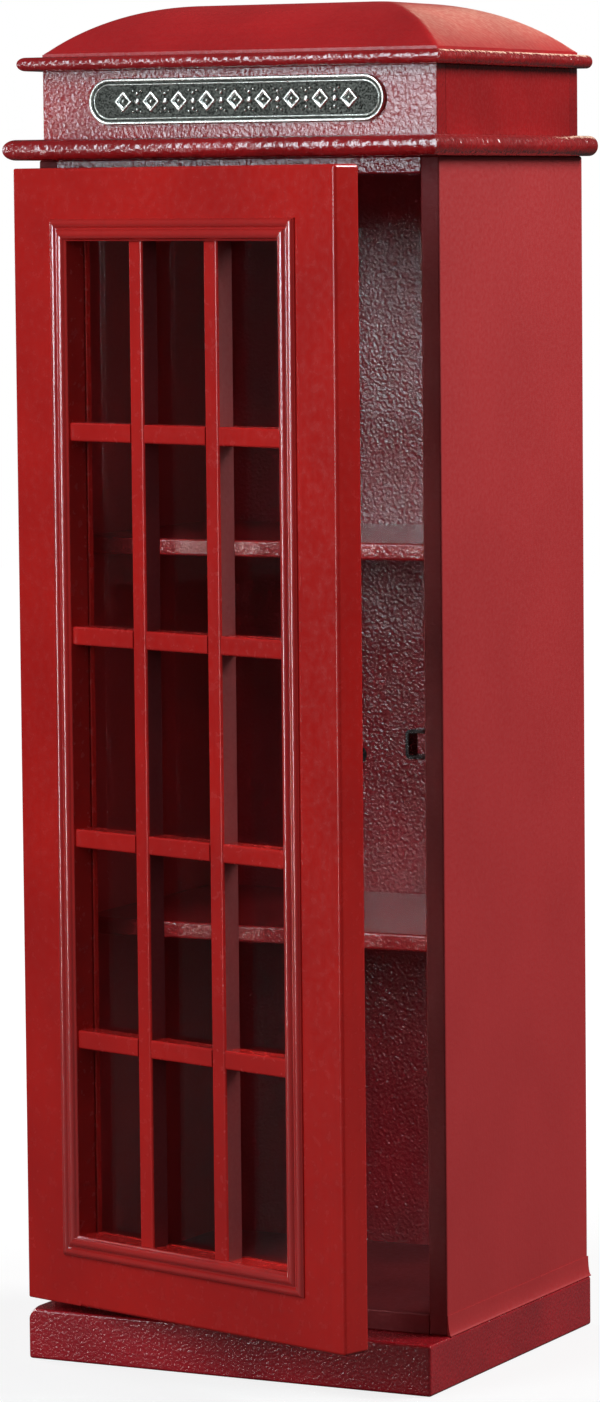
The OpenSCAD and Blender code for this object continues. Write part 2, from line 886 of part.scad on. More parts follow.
plinth_front_bar();
plinth_left_bar();
plinth_right_bar();
plinth_back_bar();
base_panel();
left_cove_strip();
right_cove_strip();
floor_board();
left_side_panel();
right_side_panel();
back_panel();
top_board();
lower_shelf();
upper_shelf();
lower_cornice();
frieze_front();
frieze_back();
frieze_left();
frieze_right();
upper_cornice();
roof();
name_plaque();
door_hinge_stile();
door_free_stile();
door_top_rail();
door_bottom_rail();
moulding_bottom();
moulding_free();
moulding_top();
moulding_hinge();
upright_bar_1();
upright_bar_2();
level_bar_1();
level_bar_2();
level_bar_3();
level_bar_4();
door_glass();
glazing_bead_bottom();
glazing_bead_top();
glazing_bead_hinge();
glazing_bead_free();
upper_hinge_carcass_leaf();
upper_hinge_door_leaf();
upper_hinge_pin();
lower_hinge_carcass_leaf();
lower_hinge_door_leaf();
lower_hinge_pin();
hinge_carcass_screws();
hinge_door_screws();
catch_keeper();
catch_keeper_screws();
catch_strike();
catch_strike_screws();
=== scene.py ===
import json
import math

import bmesh
import bpy
from mathutils import Matrix, Vector

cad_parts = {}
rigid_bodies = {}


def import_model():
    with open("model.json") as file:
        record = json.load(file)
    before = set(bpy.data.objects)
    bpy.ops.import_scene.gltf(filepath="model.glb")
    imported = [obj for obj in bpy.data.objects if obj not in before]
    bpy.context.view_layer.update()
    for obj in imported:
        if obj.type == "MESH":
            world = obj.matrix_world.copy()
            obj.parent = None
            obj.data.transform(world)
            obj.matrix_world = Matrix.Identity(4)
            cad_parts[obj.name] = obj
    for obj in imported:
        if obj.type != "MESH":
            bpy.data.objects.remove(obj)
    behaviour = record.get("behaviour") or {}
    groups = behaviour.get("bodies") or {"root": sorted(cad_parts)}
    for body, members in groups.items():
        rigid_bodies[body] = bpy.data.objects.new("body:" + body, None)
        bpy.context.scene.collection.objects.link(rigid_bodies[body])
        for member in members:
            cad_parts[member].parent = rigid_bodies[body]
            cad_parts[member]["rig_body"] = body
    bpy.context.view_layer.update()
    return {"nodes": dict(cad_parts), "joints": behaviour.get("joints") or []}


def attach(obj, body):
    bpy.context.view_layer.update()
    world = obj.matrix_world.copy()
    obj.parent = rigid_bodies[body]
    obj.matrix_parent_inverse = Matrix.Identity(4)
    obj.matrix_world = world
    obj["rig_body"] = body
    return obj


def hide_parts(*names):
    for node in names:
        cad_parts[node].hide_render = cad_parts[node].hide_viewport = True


# %% [markdown]
# # A small red display cabinet shaped like a street telephone box
#
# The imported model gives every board, bar and hinge its true size and place. What it can't give is
# the look of hand-painted wood: edges rounded over by thick enamel, mouldings that catch the light,
# a crinkled skin on the front faces, and an aged metal plaque. Each cell below takes one kind of
# piece or one finish, says what it is on the real cabinet, and then makes it.

# %% Load the fixed frame
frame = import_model()
scene = bpy.context.scene
MM = 0.001

# %% [markdown]
# ## The camera
#
# A long lens seen from about three metres, a little to the right of the front. The long lens keeps
# the upright edges nearly parallel, as a catalogue picture does. The camera is built from its
# heading, its tilt and a half degree of roll, so each can be read and changed by itself.

# %% Camera
CAMERA_PLACE = Vector((1.478, -2.945, 0.687))
CAMERA_HEADING = math.radians(26.84)
CAMERA_TILT = math.radians(-5.22)
CAMERA_ROLL = math.radians(-0.55)
LENS_MM = 142.0

camera_data = bpy.data.cameras.new("camera")
camera_data.lens = LENS_MM
camera_data.sensor_width = 36.0
camera = bpy.data.objects.new("camera", camera_data)
scene.collection.objects.link(camera)
camera.matrix_world = (
    Matrix.Translation(CAMERA_PLACE)
    @ Matrix.Rotation(CAMERA_HEADING, 4, "Z")
    @ Matrix.Rotation(math.radians(90) + CAMERA_TILT, 4, "X")
    @ Matrix.Rotation(CAMERA_ROLL, 4, "Z")
)
scene.camera = camera
print("camera looks from", tuple(round(c, 3) for c in camera.location))

# %% [markdown]
# ## Light
#
# Painted wood shows its gloss only where it mirrors something bright, so the light is a studio of
# large soft panels. One tall panel stands front left, just where the faces that look straight ahead
# mirror it, which gives them their pale glare. The door is turned away from it and stays a
# deep red. A narrow strip at the far left is there for the bright lines along the mouldings. It is kept
# weak, because a stronger one turns the door and the frieze pale too. Another panel lights the right
# side from above, a small warm one behind is mirrored in the roof's right slope, and one fills the
# left. The camera doesn't see the panels themselves, and their places and strengths were found by
# trial. The world is white where the camera looks, straight or through glass. Diffuse light gets a
# weak even fill. Reflections see a room that is dimmer still: no real room does that, but a white one
# washes the paint out.

# %% Lamps and world


def add_node(tree, kind, settings=None, **inputs):
    """Adds a node, sets its options, and fills or links its inputs. An input is named by its label
    with _ for spaces, or by in0, in1 ... for its number."""
    made = tree.nodes.new(kind)
    for key, value in (settings or {}).items():
        setattr(made, key, value)
    for key, value in inputs.items():
        numbered = key.startswith("in") and key[2:].isdigit()
        socket = made.inputs[int(key[2:]) if numbered else key.replace("_", " ")]
        if isinstance(value, bpy.types.NodeSocket):
            tree.links.new(value, socket)
        else:
            socket.default_value = value
    return made


def seen_straight(tree):
    """1 for the camera's own rays and for those that passed straight through the pane, else 0."""
    path = add_node(tree, "ShaderNodeLightPath")
    bounces = add_node(tree, "ShaderNodeMath", in0=path.outputs["Diffuse Depth"],
                       in1=path.outputs["Glossy Depth"])
    straight = add_node(tree, "ShaderNodeMath", {"operation": "LESS_THAN"}, in0=bounces.outputs[0], in1=0.5)
    through = add_node(tree, "ShaderNodeMath", {"operation": "MULTIPLY"}, in0=straight.outputs[0],
                       in1=path.outputs["Is Transmission Ray"])
    return add_node(tree, "ShaderNodeMath", {"operation": "MAXIMUM"}, in0=path.outputs["Is Camera Ray"],
                    in1=through.outputs[0]).outputs[0]


def soft_panel(name, place, target, size, watts, colour=(1.0, 1.0, 1.0)):
    """A rectangular lamp that faces the target and that the camera doesn't see."""
    data = bpy.data.lights.new(name, "AREA")
    data.shape = "RECTANGLE"
    data.size, data.size_y = size
    data.energy = watts
    data.color = colour
    lamp = bpy.data.objects.new(name, data)
    facing = (Vector(target) - Vector(place)).to_track_quat("-Z", "Y").to_matrix().to_4x4()
    lamp.matrix_world = Matrix.Translation(place) @ facing
    lamp.visible_camera = False
    scene.collection.objects.link(lamp)
    return lamp


BODY_MIDDLE = (0.0, 0.0, 0.45)
DIM_ROOM = 0.04
COOL = (0.80, 0.92, 1.0)
WARM = (1.0, 0.74, 0.54)
soft_panel("front_left_panel", (-0.46, -1.62, 1.27), (0.0, -0.05, 0.60), (0.42, 1.5), 26.0, COOL)
soft_panel("left_strip", (-1.25, -1.65, 0.34), (0.0, -0.15, 0.34), (0.08, 0.70), 5.0)
soft_panel("right_panel", (1.9, 1.1, 2.1), BODY_MIDDLE, (1.2, 1.2), 90.0)
soft_panel("behind_panel", (-0.54, 2.34, 1.6), (0.0, 0.0, 0.78), (0.64, 0.64), 2.8, WARM)
soft_panel("left_panel", (-2.4, 0.6, 1.2), BODY_MIDDLE, (1.0, 1.0), 25.0)

world = bpy.data.worlds.new("studio")
scene.world = world
world.use_nodes = True
sky = world.node_tree
sky.nodes.clear()
path = add_node(sky, "ShaderNodeLightPath")
direction = add_node(sky, "ShaderNodeTexCoord")
split = add_node(sky, "ShaderNodeSeparateXYZ", Vector=direction.outputs["Generated"])
fill = add_node(sky, "ShaderNodeMapRange", Value=split.outputs["Z"], From_Min=-0.1, From_Max=0.9,
                To_Min=0.08, To_Max=0.25)
strength = add_node(sky, "ShaderNodeMix", in0=path.outputs["Is Glossy Ray"], in2=fill.outputs[0],
                    in3=DIM_ROOM)
room = add_node(sky, "ShaderNodeBackground", Color=(1.0, 1.0, 1.0, 1.0), Strength=strength.outputs[0])
white = add_node(sky, "ShaderNodeBackground", Color=(1.0, 1.0, 1.0, 1.0), Strength=1.0)
mix = add_node(sky, "ShaderNodeMixShader", in0=seen_straight(sky), in1=room.outputs[0],
               in2=white.outputs[0])
add_node(sky, "ShaderNodeOutputWorld", Surface=mix.outputs[0])
scene.view_settings.view_transform = "Standard"

# %% [markdown]
# ## Colour and scale in materials
#
# Colours are written as the hex values a paint card would carry and turned to linear light by one
# function. Patterns are written as sizes in millimetres: a texture's scale counts repeats in one
# metre, so `repeats(2.5)` gives a grain of about 2.5 mm.

# %% Colour and scale helpers


def linear(hex_colour):
    """An sRGB hex colour as linear RGBA."""
    parts = [int(hex_colour[i:i + 2], 16) / 255 for i in (1, 3, 5)]
    return tuple(c / 12.92 if c <= 0.04045 else ((c + 0.055) / 1.055) ** 2.4 for c in parts) + (1.0,)


def repeats(size_mm):
    """How many features of this size fit in one metre."""
    return 1.0 / (size_mm * MM)


def new_material(name):
    """An empty node material with its output, and the coordinates that patterns lie on."""
    material = bpy.data.materials.new(name)
    material.use_nodes = True
    tree = material.node_tree
    tree.nodes.clear()
    place = add_node(tree, "ShaderNodeTexCoord").outputs["Object"]
    return material, tree, place


def close_material(tree, shader):
    add_node(tree, "ShaderNodeOutputMaterial", Surface=shader.outputs[0])


def mixed(tree, factor, first, second):
    """A colour between two others."""
    mix = add_node(tree, "ShaderNodeMix", {"data_type": "RGBA"}, in0=factor, in6=first, in7=second)
    return mix.outputs[2]


# %% [markdown]
# ## The red enamel
#
# Alkyd enamel brushed on wood. It is a glossy dielectric: the colour sits under a clear surface
# that mirrors about 4% of the light, a little blurred. Three things keep it from looking like
# plastic. The coat is uneven, so the red drifts between two shades over a hand's width. The brush
# leaves faint ridges along each board. And where the coat is thick it dries to an orange-peel or
# even a leathery crinkle, which breaks a reflection up into small grains. One function makes every
# version: the grain direction, the crinkle, the gloss and a clear coat are its numbers.
#
# The clear coat isn't a layer that the cabinet is known to have. It is there to strengthen the glare,
# by a different amount on each kind of face. The moulding's has an IOR of 2.1, far above the 1.5 of
# real enamel or varnish, which only makes the lines along its ridges brighter. The darkest version is
# painted shade: a dark red that stands in for shade on faces that the lamps here leave too bright. It
# is a colour set by trial, and how thick the paint is there isn't known.

# %% Enamel
ALONG = {"x": (0.02, 1.0, 1.0), "y": (1.0, 0.02, 1.0), "z": (1.0, 1.0, 0.02)}


def enamel(name, colour, shade, grain="z", crinkle=0.15, crinkle_mm=2.4, gloss=0.34, coat=0.0,
           coat_ior=1.5):
    """Brushed enamel with its brush marks along one axis, and a clear coat over it if coat is set."""
    material, tree, place = new_material(name)
    patches = add_node(tree, "ShaderNodeTexNoise", Vector=place, Scale=repeats(70), Detail=3.0)
    tone = add_node(tree, "ShaderNodeMapRange", Value=patches.outputs[0], From_Min=0.35, From_Max=0.7)
    stretched = add_node(tree, "ShaderNodeMapping", Vector=place, Scale=ALONG[grain])
    brush = add_node(tree, "ShaderNodeTexNoise", Vector=stretched.outputs[0], Scale=repeats(1.8),
                     Detail=2.0)
    drift = mixed(tree, tone.outputs[0], linear(colour), linear(shade))
    streak = add_node(tree, "ShaderNodeMapRange", Value=brush.outputs[0], From_Min=0.45, From_Max=0.75,
                      To_Max=0.35)
    paint = mixed(tree, streak.outputs[0], drift, linear(shade))
    peel = add_node(tree, "ShaderNodeTexNoise", Vector=place, Scale=repeats(crinkle_mm), Detail=2.0,
                    Roughness=0.55)
    cells = add_node(tree, "ShaderNodeTexVoronoi", {"feature": "SMOOTH_F1"}, Vector=place,
                     Scale=repeats(crinkle_mm * 1.3), Smoothness=0.6)
    skin = add_node(tree, "ShaderNodeMath", {"operation": "MULTIPLY_ADD"}, in0=cells.outputs["Distance"],
                    in1=0.6, in2=peel.outputs[0])
    ridges = add_node(tree, "ShaderNodeBump", Strength=0.25, Distance=0.06 * MM, Height=brush.outputs[0])
    surface = add_node(tree, "ShaderNodeBump", Strength=crinkle, Distance=0.25 * crinkle_mm * MM,
                       Height=skin.outputs[0], Normal=ridges.outputs[0])
    blur = add_node(tree, "ShaderNodeMapRange", Value=peel.outputs[0], From_Min=0.3, From_Max=0.7,
                    To_Min=gloss - 0.05, To_Max=gloss + 0.10)
    shader = add_node(tree, "ShaderNodeBsdfPrincipled", Base_Color=paint, Roughness=blur.outputs[0],
                      IOR=1.5, Normal=surface.outputs[0], Coat_Weight=coat, Coat_Roughness=gloss,
                      Coat_IOR=coat_ior, Coat_Normal=surface.outputs[0])
    close_material(tree, shader)
    return material


RED = "#b81d19"
RED_SHADE = "#a81a18"
upright_enamel = enamel("brushed_red_enamel_upright", RED, RED_SHADE, "z", 0.06, 5.0, 0.20, 0.2)
level_enamel = enamel("brushed_red_enamel_level", RED, RED_SHADE, "x", 0.06, 5.0, 0.20, 0.2)
side_enamel = enamel("brushed_red_enamel_side", "#ae2c2e", "#a8292b", "z", 0.10, gloss=0.42)
band_enamel = enamel("glossy_red_enamel_band", "#a01a1d", "#8c1719", "x", 0.15, gloss=0.24)
moulding_enamel = enamel("glossy_red_enamel_moulding", RED, RED_SHADE, "z", 0.18, 2.5, 0.17, 1.0, 2.1)
rippled_enamel = enamel("rippled_red_enamel", "#a01a1d", "#861518", "x", 0.8, 4.5, 0.20, 1.0)
crinkled_enamel = enamel("crinkled_red_enamel", "#a01a1d", "#861518", "x", 0.8, 1.9, 0.15, 0.7)
deep_enamel = enamel("deep_red_enamel", "#b01a24", "#90141e", "x", 0.9, 1.6, 0.20, 0.8)
# painted shade: this darkest red stands in for shade on the panels' front edges, the floor board and the bar
# sides
painted_shade_enamel = enamel("painted_shade_red_enamel", "#7c1519", "#6c1116", "z", 0.15, gloss=0.65)
inner_enamel = enamel("inner_red_enamel", "#9c1a24", "#7c141b", "z", 0.9, 1.6, 0.17, 1.0)
print("enamels:", [m.name for m in bpy.data.materials if "enamel" in m.name])

# %% [markdown]
# ## Metals and glass
#
# - The plaque is cast pewter, blackened and then rubbed back, so its raised work is bright and the
#   ground stays nearly black. It takes two materials, one for each.
# - The hinges are taken to be brass, dulled by handling. A metal has no colour of its own under its
#   surface: the tint is in the reflection, so metallic is 1 and the rest is roughness.
# - The keeper is taken to be steel strip under black lacquer: a dark body below a clear glossy skin.
# - The pane is plain float glass, clear all through, with a very slight ripple on its faces.

# %% Metals and glass


def rubbed_metal(name, bright, dull, roughness, spot_mm, metallic=1.0):
    """A cast or rolled metal whose polish varies in small patches."""
    material, tree, place = new_material(name)
    spots = add_node(tree, "ShaderNodeTexNoise", Vector=place, Scale=repeats(spot_mm), Detail=4.0)
    wear = add_node(tree, "ShaderNodeMapRange", Value=spots.outputs[0], From_Min=0.4, From_Max=0.65)
    colour = mixed(tree, wear.outputs[0], linear(bright), linear(dull))
    blur = add_node(tree, "ShaderNodeMapRange", Value=spots.outputs[0], From_Min=0.3, From_Max=0.7,
                    To_Min=roughness - 0.08, To_Max=roughness + 0.15)
    pits = add_node(tree, "ShaderNodeBump", Strength=0.35, Distance=0.15 * MM, Height=spots.outputs[0])
    shader = add_node(tree, "ShaderNodeBsdfPrincipled", Base_Color=colour, Metallic=metallic,
                      Roughness=blur.outputs[0], Normal=pits.outputs[0])
    close_material(tree, shader)
    return material


pewter_raised = rubbed_metal("rubbed_pewter", "#ebebe4", "#adaca4", 0.28, 1.4)
pewter_ground = rubbed_metal("blackened_pewter", "#4c4c47", "#161614", 0.50, 1.0)
hinge_brass = rubbed_metal("handled_brass", "#c8a258", "#8f6f38", 0.34, 3.0)
black_lacquer = rubbed_metal("black_lacquered_steel", "#0e0e10", "#1a1a1c", 0.22, 2.0, metallic=0.0)


def float_glass():
    """Clear glass with the faint ripple of float glass."""
    material, tree, place = new_material("float_glass")
    ripple = add_node(tree, "ShaderNodeTexNoise", Vector=place, Scale=repeats(60), Detail=1.0)
    surface = add_node(tree, "ShaderNodeBump", Strength=0.06, Distance=0.3 * MM, Height=ripple.outputs[0])
    clear = add_node(tree, "ShaderNodeBsdfPrincipled", Base_Color=linear("#eef4f1"), Roughness=0.02,
                     IOR=1.45, Transmission_Weight=1.0, Normal=surface.outputs[0])
    open_to_lamps = add_node(tree, "ShaderNodeBsdfTransparent", Color=linear("#eef4f1"))
    path = add_node(tree, "ShaderNodeLightPath")
    close_material(tree, add_node(tree, "ShaderNodeMixShader", in0=path.outputs["Is Shadow Ray"],
                                  in1=clear.outputs[0], in2=open_to_lamps.outputs[0]))
    return material


pane_glass = float_glass()
print("materials so far:", len(bpy.data.materials))

# %% [markdown]
# ## Working on the closed door
#
# The door stands ajar, so its boards lie at an angle to every axis. A joiner works on the bench with
# the door flat, and the script does the same: a piece of the door is first turned to its closed
# place, shaped there with plain widths and heights, and then turned back. The turn comes from the
# hinge itself, whose lowest value is the closed door.

# %% Closed and hung places
hinge = frame["joints"][0]
hinge_point = Vector(hinge["pos_m"])
shut_turn = Matrix.Rotation(math.radians(hinge["range_deg"][0]), 4, Vector(hinge["axis"]))
shut_door = Matrix.Translation(hinge_point) @ shut_turn @ Matrix.Translation(-hinge_point)
TO_SHUT = {"cabinet": Matrix.Identity(4), "door": shut_door}
pieces = []


def body_of(node):
    return frame["nodes"][node]["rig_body"]


def corners(vertices):
    """The lowest and highest corner around some vertices."""
    low = Vector([min(v.co[axis] for v in vertices) for axis in range(3)])
    high = Vector([max(v.co[axis] for v in vertices) for axis in range(3)])
    return low, high


def shut_copy(node):
    """A merged copy of a node's mesh with its flat faces whole, in its closed place."""
    bm = bmesh.new()
    bm.from_mesh(frame["nodes"][node].data)
    bmesh.ops.remove_doubles(bm, verts=bm.verts, dist=0.001 * MM)
    bmesh.ops.dissolve_limit(bm, angle_limit=math.radians(0.3), verts=bm.verts, edges=bm.edges)
    bm.transform(TO_SHUT[body_of(node)])
    return bm


def shut_box(node):
    """A node's lowest and highest corner in its closed place."""
    bm = shut_copy(node)
    found = corners(bm.verts)
    bm.free()
    return found


def finish_piece(bm, name, node, materials, crease=32.0):
    """Turns a shape in its closed place into a piece that rides and replaces its node."""
    body = body_of(node)
    bm.transform(TO_SHUT[body].inverted())
    for face in bm.faces:
        face.smooth = True
    for edge in bm.edges:
        edge.smooth = len(edge.link_faces) == 2 and edge.calc_face_angle(0.0) < math.radians(crease)
    mesh = bpy.data.meshes.new(name)
    bm.to_mesh(mesh)
    bm.free()
    for material in materials:
        mesh.materials.append(material)
    piece = bpy.data.objects.new(name, mesh)
    scene.collection.objects.link(piece)
    even = piece.modifiers.new("even_normals", "WEIGHTED_NORMAL")
    even.keep_sharp = True
    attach(piece, body)
    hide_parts(node)
    pieces.append(piece)
    return piece


door_width = shut_box("door_top_rail")[1].x - shut_box("door_top_rail")[0].x
print("rail between the stiles, mm:", round(door_width / MM, 1))

# %% [markdown]
# ## Boards with painted edges
#
# Every board of the carcass and the door is a plain piece of wood whose long edges were eased with
# sandpaper and then rounded further by two or three coats of enamel. That small round is what draws
# the pale lines along the edges. A bevel on the copied node gives it: the edges that lie on the
# board's outline are found by the flat sides they share, so grooves, hinge recesses and screw holes
# inside the outline stay sharp. Where a board butts against its neighbour the end is left square,
# so that the joint stays closed. The front edges of the side panels and the floor board take the
# darkest enamel. They look darker than the rest, which is taken to be shade beside the door, and
# the lamps here leave too little of it.

# %% Eased boards


def outline_edges(bm, square=()):
    """The edges where two outer sides of a board meet, without those on the sides that stay square.
    A side is an axis with 0 for its low end or 1 for its high end."""
    low, high = corners(bm.verts)
    near = 0.02 * MM

    def sides(vertex):
        return {(axis, end) for axis in range(3) for end, side in enumerate((low, high))
                if abs(vertex.co[axis] - side[axis]) < near}

    found = []
    for edge in bm.edges:
        shared = sides(edge.verts[0]) & sides(edge.verts[1])
        if len(shared) == 2 and not shared & set(square):
            found.append(edge)
    return found


def ease(bm, edges, radius_mm, segments=4):
    bmesh.ops.bevel(bm, geom=edges, offset=radius_mm * MM, offset_type="OFFSET", segments=segments,
                    profile=0.5, affect="EDGES", material=-1, clamp_overlap=True)


def eased_board(node, material, radius_mm=1.2, square=()):
    """A copy of a board with its outer edges rounded over."""
    bm = shut_copy(node)
    ease(bm, outline_edges(bm, square), radius_mm)
    return finish_piece(bm, "painted_" + node, node, [material])


X, Y, Z = 0, 1, 2
LOW, HIGH = 0, 1
ENDS_X = [(X, LOW), (X, HIGH)]
ENDS_Y = [(Y, LOW), (Y, HIGH)]
for side in ("left", "right"):
    panel = eased_board(f"{side}_side_panel", side_enamel, 1.4)
    # painted shade: the panel's front edge takes the darkest red
    panel.data.materials.append(painted_shade_enamel)
    for face in panel.data.polygons:
        if face.normal.y < -0.7:
            face.material_index = 1
    eased_board(f"frieze_{side}", band_enamel, 0.5, square=ENDS_Y)
eased_board("frieze_front", crinkled_enamel, 0.5)
eased_board("frieze_back", crinkled_enamel, 0.5)
eased_board("back_panel", inner_enamel, 0.6)
# painted shade: the floor board takes the darkest red
eased_board("floor_board", painted_shade_enamel, 1.0, square=ENDS_X)
eased_board("top_board", inner_enamel, 1.0, square=ENDS_X)
for shelf in ("lower_shelf", "upper_shelf"):
    eased_board(shelf, crinkled_enamel, 1.6, square=ENDS_X)
eased_board("door_hinge_stile", upright_enamel, 2.2, square=[(X, HIGH)])
eased_board("door_free_stile", upright_enamel, 2.2, square=[(X, LOW)])
eased_board("door_top_rail", level_enamel, 2.2, square=ENDS_X + [(Z, LOW)])
eased_board("door_bottom_rail", level_enamel, 2.2, square=ENDS_X + [(Z, HIGH)])
for bead in ("hinge", "free"):
    eased_board(f"glazing_bead_{bead}", upright_enamel, 0.6)
for bead in ("bottom", "top"):
    eased_board(f"glazing_bead_{bead}", level_enamel, 0.6, square=ENDS_X)
print("boards eased:", len(pieces))

# %% [markdown]
# ## The plinth
#
# The plinth is drawn with a heavy crinkle and soft corners. Its front bar stands well forward of the
# door like a step. The top corner at its left end has lost a sliver: a slanted cut, closed again and
# rounded with the rest, makes that.

# %% Plinth
CHIP_MM = 4.0
bar = shut_copy("plinth_front_bar")
low, high = corners(bar.verts)
chip = bmesh.ops.bisect_plane(
    bar, geom=bar.verts[:] + bar.edges[:] + bar.faces[:], clear_outer=True,
    plane_co=Vector((low.x + CHIP_MM * MM, low.y, high.z)),
    plane_no=Vector((-1.0, -0.35, 0.8)).normalized())
cut_edges = [part for part in chip["geom_cut"] if isinstance(part, bmesh.types.BMEdge)]
bmesh.ops.edgeloop_fill(bar, edges=cut_edges)
bmesh.ops.recalc_face_normals(bar, faces=bar.faces)
ease(bar, outline_edges(bar, [(Y, HIGH)]) + cut_edges, 1.8)
finish_piece(bar, "painted_plinth_front_bar", "plinth_front_bar", [deep_enamel])
for side in ("left", "right"):
    eased_board(f"plinth_{side}_bar", deep_enamel, 1.8, square=[(Y, LOW)])
    finish_piece(shut_copy(f"{side}_cove_strip"), f"painted_{side}_cove_strip", f"{side}_cove_strip",
                 [side_enamel])
eased_board("plinth_back_bar", deep_enamel, 1.0, square=ENDS_X)
eased_board("base_panel", deep_enamel, 0.6)
print("plinth bars:", sum("plinth" in piece.name for piece in pieces))

# %% [markdown]
# ## The two cornices
#
# Each cornice is one board with a half-round nose along its front and both sides, run with a router,
# and square at the back. The nose is a bevel as wide as half the board's thickness on its top and
# bottom edges: the two rounds meet in the middle and make the half circle. Because only the level
# edges are rounded, the noses meet at the front corners in a crisp mitre.

# %% Cornices


def bullnosed_slab(node, material, segments=9):
    """A board with a half-round nose at its front and sides."""
    low, high = shut_box(node)
    bm = bmesh.new()
    bmesh.ops.create_cube(bm, size=1.0)
    bmesh.ops.scale(bm, verts=bm.verts, vec=high - low)
    bmesh.ops.translate(bm, verts=bm.verts, vec=(low + high) / 2)
    half = (high.z - low.z) * 0.499

    def is_nose(edge):
        level = abs(edge.verts[0].co.z - edge.verts[1].co.z) < MM
        at_back = all(v.co.y > high.y - MM for v in edge.verts)
        return level and not at_back

    bmesh.ops.bevel(bm, geom=[e for e in bm.edges if is_nose(e)], offset=half, offset_type="OFFSET",
                    segments=segments, profile=0.5, affect="EDGES", material=-1)
    bmesh.ops.remove_doubles(bm, verts=bm.verts, dist=0.01 * MM)
    bmesh.ops.recalc_face_normals(bm, faces=bm.faces)
    return finish_piece(bm, "painted_" + node, node, [material])


bullnosed_slab("lower_cornice", rippled_enamel)
bullnosed_slab("upper_cornice", rippled_enamel)
print("cornices done")

# %% [markdown]
# ## The roof
#
# A block carved to four curved faces that meet in soft hips and level out towards the crown. It
# could be lofted from its outline, but a fine level grid with its points lifted by a formula is
# simpler: each point rises along an arc by its distance from the nearest edge. The two arcs are
# joined by a smooth minimum, which rounds the hips the way filler and paint do. The rim of the grid
# is then extruded down to the cornice, with a small step in its side for the lip that shows as a
# dark line.

# %% Roof
roof_low, roof_high = shut_box("roof")
ROOF_RUN = 72.0 * MM
ROOF_LIP = 2.5 * MM
HIP_ROUND = 1.2 * MM
GRID_MM = 2.0
roof_rise = roof_high.z - roof_low.z - ROOF_LIP
roof_radius = (ROOF_RUN ** 2 + roof_rise ** 2) / (2 * roof_rise)


def arc_height(inward):
    """Height of the roof's curve at a distance in from its edge."""
    left = max(ROOF_RUN - inward, 0.0)
    return math.sqrt(roof_radius ** 2 - left ** 2) - (roof_radius - roof_rise)


def smooth_min(a, b):
    """The lower of two heights, rounded where they meet."""
    blend = max(HIP_ROUND - abs(a - b), 0.0)
    return min(a, b) - blend * blend / (4 * HIP_ROUND)


roof = bmesh.new()
size = roof_high - roof_low
bmesh.ops.create_grid(roof, x_segments=round(size.x / (GRID_MM * MM)),
                      y_segments=round(size.y / (GRID_MM * MM)), size=0.5)
bmesh.ops.scale(roof, verts=roof.verts, vec=(size.x, size.y, 1.0))
for vertex in roof.verts:
    from_side = size.x / 2 - abs(vertex.co.x)
    from_end = size.y / 2 - abs(vertex.co.y)
    vertex.co.z = max(smooth_min(arc_height(from_side), arc_height(from_end)), 0.0)
LIP_STEP = 0.7 * MM
CURVE_DROP = 0.4 * MM
LIP_DROP = 0.8 * MM
drawn_in = Vector(((size.x / 2 - LIP_STEP) / (size.x / 2), (size.y / 2 - LIP_STEP) / (size.y / 2), 1.0))
let_out = Vector(((size.x / 2) / (size.x / 2 - LIP_STEP), (size.y / 2) / (size.y / 2 - LIP_STEP), 1.0))


def grown_rim():
    """Extrudes the open rim of the roof and gives the new vertices."""
    rim = [edge for edge in roof.edges if edge.is_boundary]
    grown = bmesh.ops.extrude_edge_only(roof, edges=rim)
    return [part for part in grown["geom"] if isinstance(part, bmesh.types.BMVert)]


# the curved part is drawn in, so that the lip stands a little proud of it
under = grown_rim()
curved = [vertex for vertex in roof.verts if vertex not in set(under)]
bmesh.ops.scale(roof, verts=roof.verts, vec=drawn_in)
bmesh.ops.translate(roof, verts=curved, vec=(0, 0, -CURVE_DROP))
bmesh.ops.translate(roof, verts=under, vec=(0, 0, -LIP_DROP))
lip_top = grown_rim()
bmesh.ops.scale(roof, verts=lip_top, vec=let_out)
lip_foot = grown_rim()
bmesh.ops.translate(roof, verts=lip_foot, vec=(0, 0, LIP_DROP - ROOF_LIP))
bmesh.ops.edgeloop_fill(roof, edges=[edge for edge in roof.edges if edge.is_boundary])
bmesh.ops.translate(roof, verts=roof.verts, vec=((roof_low.x + roof_high.x) / 2,
                                                 (roof_low.y + roof_high.y) / 2, roof_low.z + ROOF_LIP))
bmesh.ops.recalc_face_normals(roof, faces=roof.faces)
roof_enamel = enamel("brushed_red_enamel_roof", "#b61e21", "#a01a1d", "x", 0.18, 3.0, 0.34)
finish_piece(roof, "painted_roof", "roof", [roof_enamel])
print("roof rise, mm:", round(roof_rise / MM, 1))

# %% [markdown]
# ## The moulding around the glass
#
# A strip with two rounded ridges and a hollow between them, cut to length with mitred ends and set
# around the opening. Its section is drawn once, from its outer edge to the glass, with
# each ridge an arc. The section is extruded to the strip's length, and then each point of its two
# ends is slid along by its own distance from the outer edge: that is all a mitre is.

# %% Moulding


def arc(centre_x, centre_y, radius, start, stop, steps):
    """Points along a circle between two angles in degrees."""
    angles = [math.radians(start + (stop - start) * i / steps) for i in range(steps + 1)]
    return [(centre_x + radius * math.cos(a), centre_y + radius * math.sin(a)) for a in angles]


MOULDING_SECTION = (
    [(0.0, 0.0), (0.0, 1.0)]
    + arc(2.8, 0.4, 2.6, 160, 30, 14)
    + arc(5.7, 2.2, 0.8, 225, 315, 6)
    + arc(9.0, 0.7, 3.0, 157, 15, 16)
    + [(12.6, 1.0), (13.0, 0.6), (13.0, 0.0)]
)


